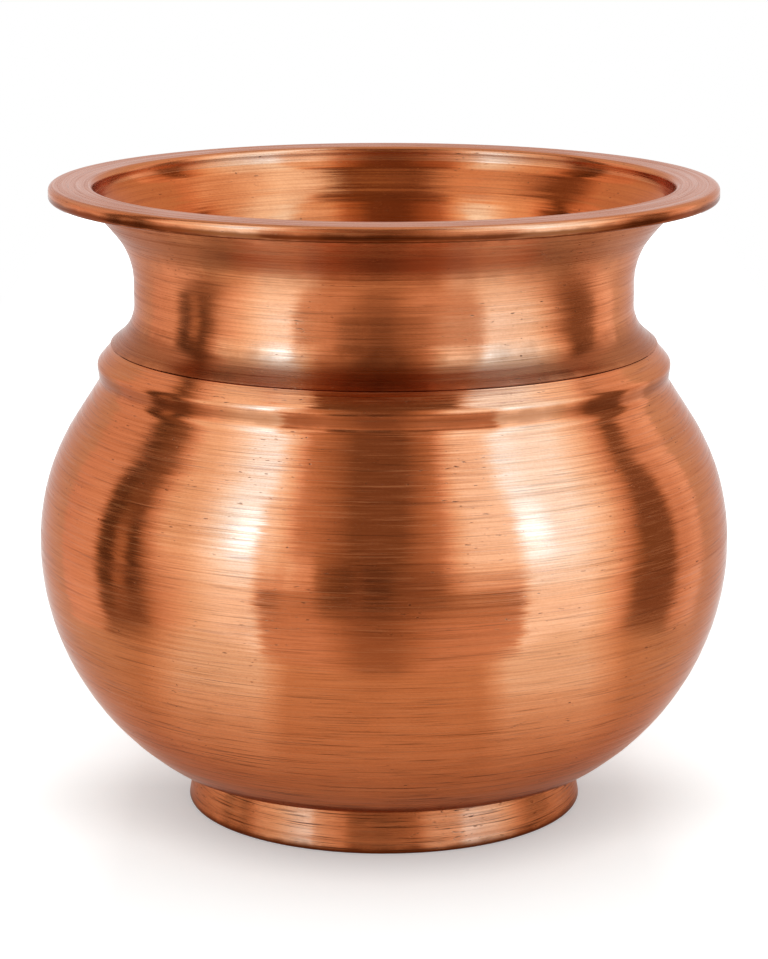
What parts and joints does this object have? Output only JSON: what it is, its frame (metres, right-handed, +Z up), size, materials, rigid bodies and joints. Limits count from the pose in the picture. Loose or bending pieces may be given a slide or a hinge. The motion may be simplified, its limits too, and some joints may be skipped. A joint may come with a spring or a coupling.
{
  "type": "copper lota",
  "caption": "Round-bellied copper water pot with a waisted neck, a flat ring rim, a shoulder bead and a low foot ring.",
  "frame": {"origin": "centre of the foot's underside, on the surface that the pot stands on", "axes": "+Z up along the pot's axis of revolution, -Y towards the picture's viewer, +X to the viewer's right"},
  "size_m": [0.1244, 0.1244, 0.1135],
  "materials": {
    "copper": "spun copper sheet, polished, with fine turning lines running round",
    "turned_copper": "turned copper, satin, with fine lines running round",
    "brazing_metal": "dull yellow brazing metal"
  },
  "bodies": {
    "root": {"belly_shell": "copper", "neck_shell": "copper", "rim_ring": "turned_copper", "foot_ring": "turned_copper", "foot_braze": "brazing_metal", "shoulder_braze": "brazing_metal", "rim_braze": "brazing_metal"}
  },
  "joints": []
}
